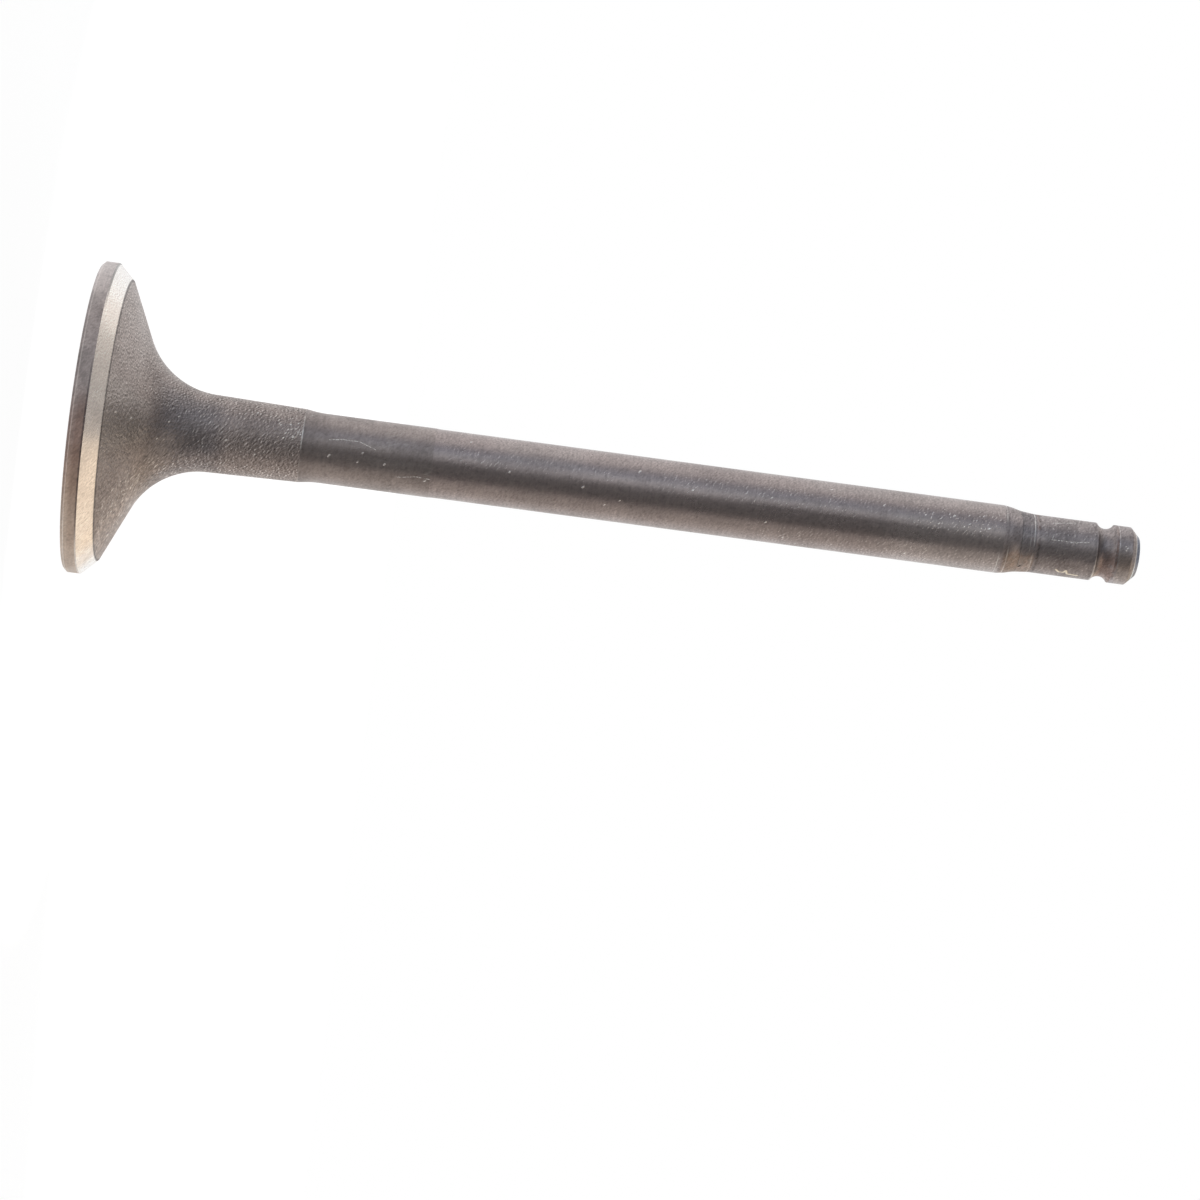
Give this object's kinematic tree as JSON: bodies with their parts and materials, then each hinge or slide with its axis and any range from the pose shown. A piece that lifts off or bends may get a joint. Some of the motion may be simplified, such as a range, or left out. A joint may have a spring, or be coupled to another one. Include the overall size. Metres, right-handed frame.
{
  "type": "engine valve",
  "caption": "Poppet valve with tulip head, ground 45-degree seat, long guide stem and round keeper groove near the tip.",
  "frame": {"origin": "centre of the flat combustion face, on which the valve stands", "axes": "+Z along the valve's axis, from the head to the tip; X and Y are equal, because the valve is round"},
  "size_m": [0.036, 0.036, 0.123],
  "materials": {
    "valve_steel": "dark used steel, satin; bright ground seat, blasted neck"
  },
  "bodies": {
    "root": {"valve": "valve_steel"}
  },
  "joints": []
}
